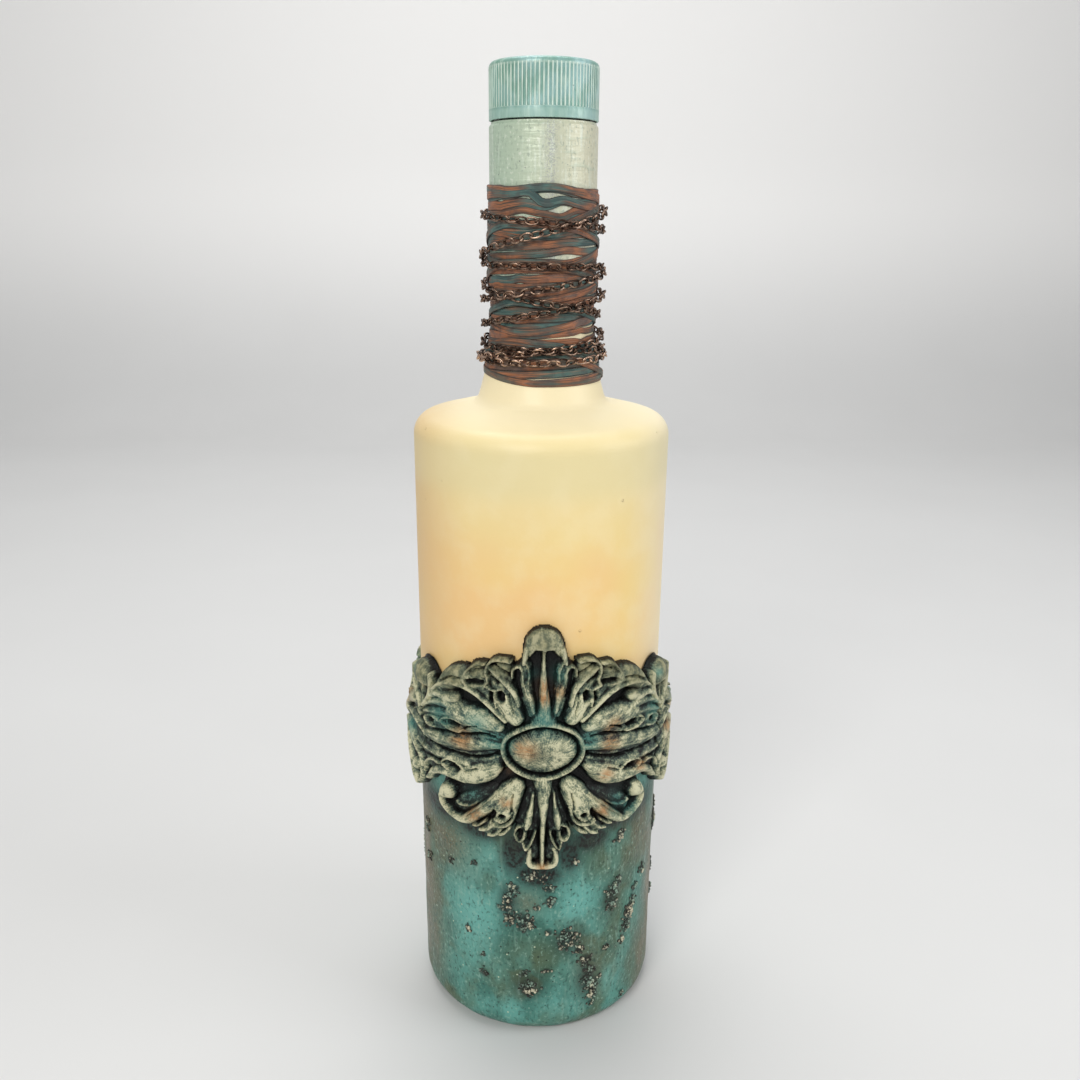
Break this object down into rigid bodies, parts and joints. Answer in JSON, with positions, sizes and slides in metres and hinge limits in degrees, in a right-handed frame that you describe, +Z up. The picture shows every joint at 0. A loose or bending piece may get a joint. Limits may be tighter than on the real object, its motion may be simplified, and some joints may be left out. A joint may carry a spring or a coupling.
{
  "type": "whisky bottle",
  "caption": "Round glass spirit bottle, hand painted, with a cast rococo relief belt, a textured lower coat, a cord and chain wound neck and a long-skirted screw cap.",
  "frame": {"origin": "middle of the base, on the surface that the bottle stands on", "axes": "+Z up along the bottle's axis; the front, with the cartouche that faces the viewer, faces -Y; +X is to the viewer's right"},
  "size_m": [0.0868, 0.0872, 0.2893],
  "materials": {
    "painted_glass": "clear glass under opaque cream and honey-yellow paint, satin, slightly textured",
    "texture_coat": "rough texture paste, painted turquoise and grey-green with streaks",
    "cast_relief": "cast relief, dark washed, with teal, cream-gold and copper rubbed on the ridges",
    "skirt_paint": "thin aluminium, satin cream-green paint with fine specks",
    "cap_paint": "thin aluminium, satin turquoise paint, pale on the ribs",
    "insert_plastic": "moulded plastic, satin white",
    "liner_foam": "soft foamed liner, matte off-white",
    "cord_fibre": "variegated cord, rust, teal and grey-brown",
    "chain_copper": "antique copper, dark with bright edges"
  },
  "bodies": {
    "bottle": {"glass_bottle": "painted_glass", "texture_coat": "texture_coat", "cartouche_front": "cast_relief", "cartouche_rear": "cast_relief", "side_panel_right": "cast_relief", "side_panel_left": "cast_relief", "palmette_front_right": "cast_relief", "palmette_rear_right": "cast_relief", "palmette_rear_left": "cast_relief", "palmette_front_left": "cast_relief", "closure_skirt": "skirt_paint", "wrap_cord": "cord_fibre", "neck_chain": "chain_copper"},
    "liner": {"cap_liner": "liner_foam"},
    "cap": {"cap_shell": "cap_paint", "cap_insert": "insert_plastic"}
  },
  "joints": [
    {"name": "cap_rise", "type": "slide", "parent": "bottle", "child": "liner", "axis": [0, 0, 1], "range_m": [0, 0.0064]},
    {"name": "cap_turn", "type": "hinge", "parent": "liner", "child": "cap", "pos_m": [0, 0, 0.2747], "axis": [0, 0, 1], "range_deg": [0, 720]}
  ],
  "couplings": [
    {"joint": "cap_rise", "follows": "cap_turn", "m_per_rad": 0.000509}
  ]
}
